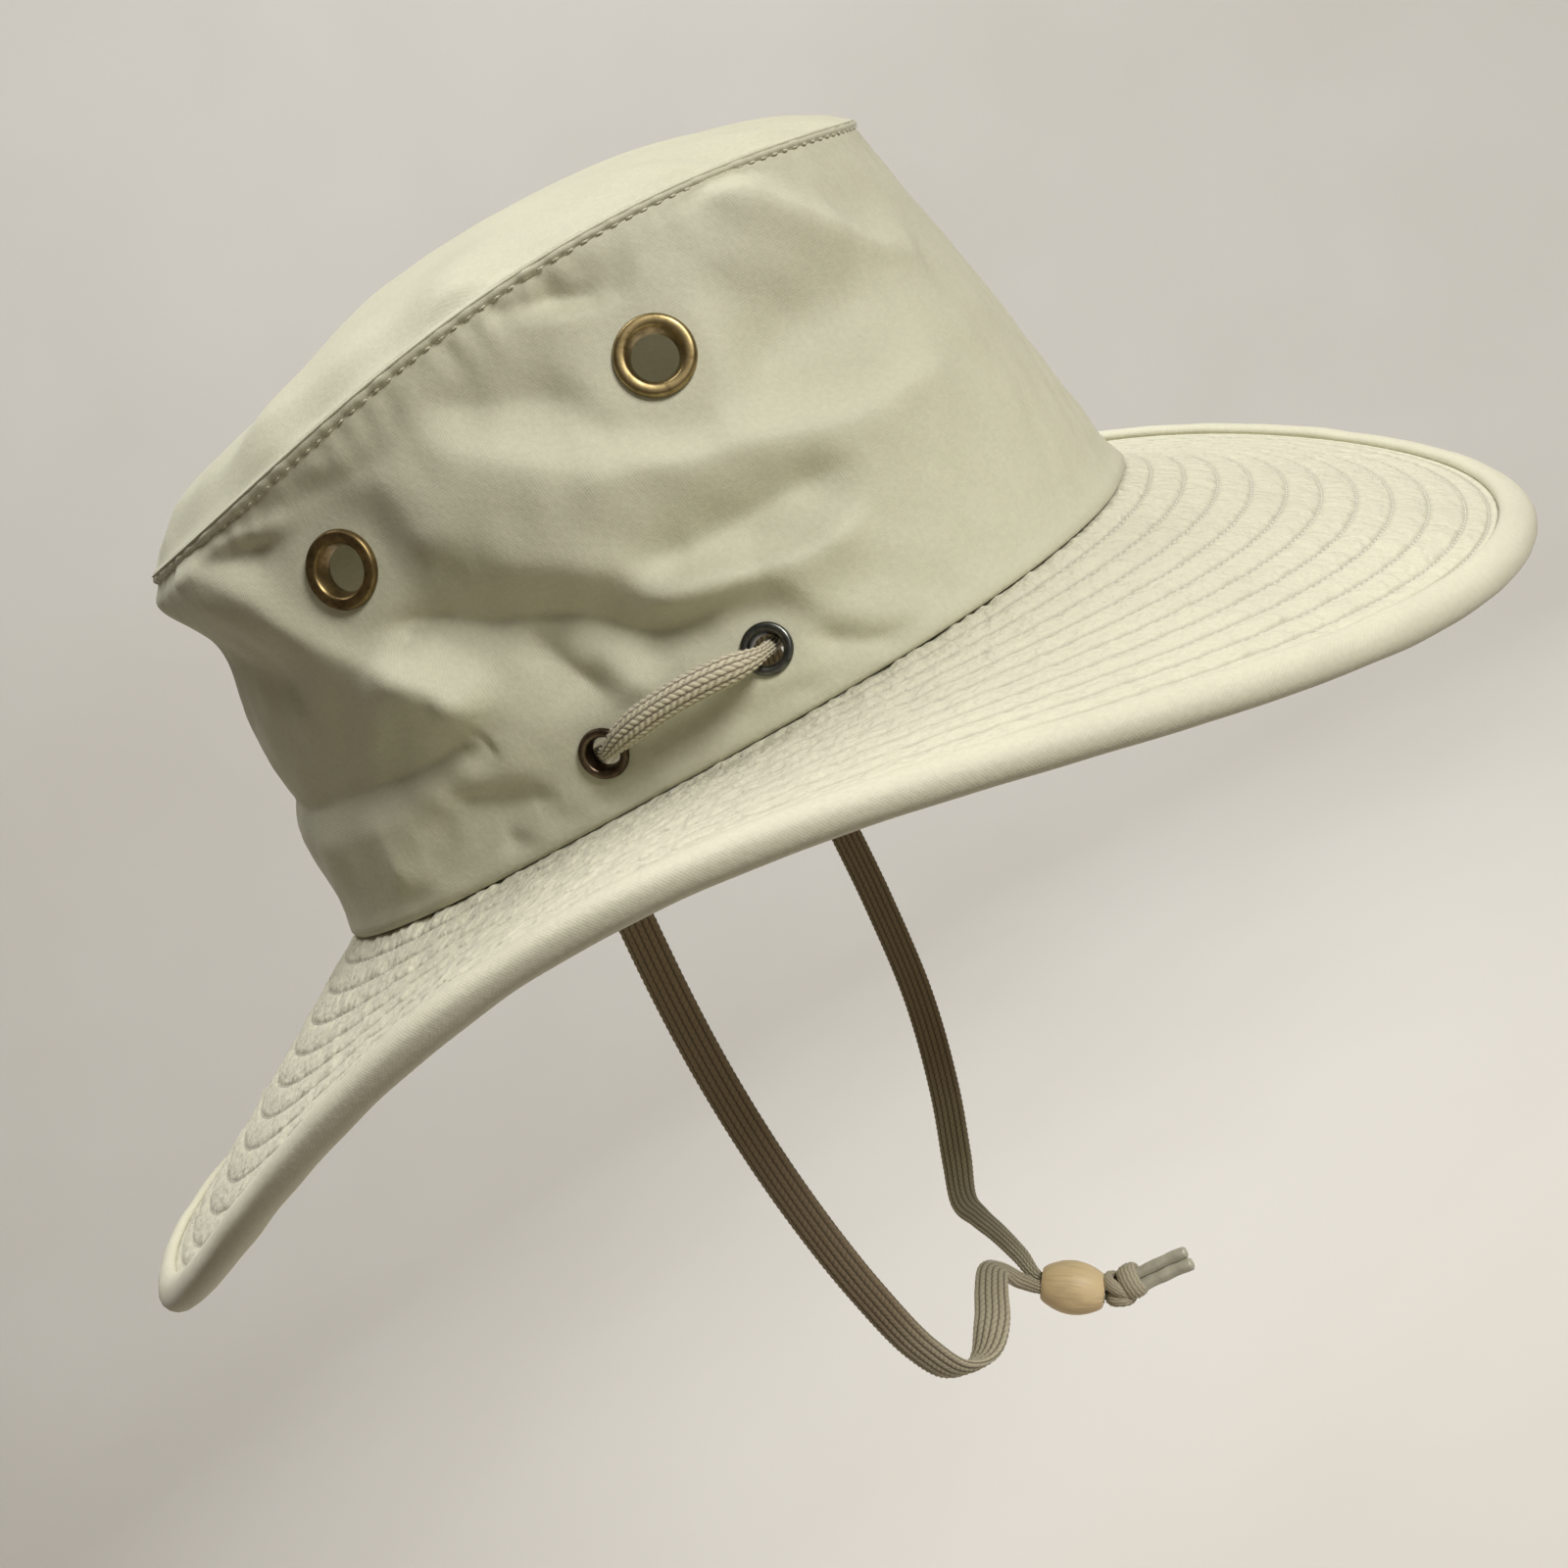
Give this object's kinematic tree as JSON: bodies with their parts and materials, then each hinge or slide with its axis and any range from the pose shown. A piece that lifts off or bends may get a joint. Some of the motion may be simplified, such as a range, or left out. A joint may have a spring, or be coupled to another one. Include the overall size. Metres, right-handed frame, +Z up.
{
  "type": "safari hat",
  "caption": "Wide-brimmed cotton safari hat with a soft domed crown, brass eyelets, a quilted brim with a padded binding and a braided chin cord that a wooden bead slides on.",
  "frame": {"origin": "Middle of the crown's lower edge, where the hat sits on a head", "axes": "+X to the front of the hat, +Y to the wearer's left, +Z up"},
  "size_m": [0.3549, 0.3204, 0.2929],
  "materials": {
    "crown_cloth": "matte cotton duck",
    "brim_cloth": "matte quilted cotton duck",
    "binding_cloth": "matte cotton twill",
    "brass": "antique, semi-gloss",
    "dark_brass": "dark patina",
    "braid": "braided, dull",
    "birch": "waxed"
  },
  "bodies": {
    "root": {"crown_side": "crown_cloth", "crown_top": "crown_cloth", "brim": "brim_cloth", "brim_binding": "binding_cloth", "vent_front_right": "brass", "vent_front_left": "brass", "vent_back_right": "brass", "vent_back_left": "brass", "cord_eyelet_front_right": "dark_brass", "cord_eyelet_front_left": "dark_brass", "cord_eyelet_back_right": "dark_brass", "cord_eyelet_back_left": "dark_brass", "chin_cord_right": "braid", "chin_cord_left": "braid", "cord_stop_right": "braid", "cord_stop_left": "braid", "cord_bead": "birch", "cord_knot": "braid", "cord_tail_right": "braid", "cord_tail_left": "braid"}
  },
  "joints": []
}
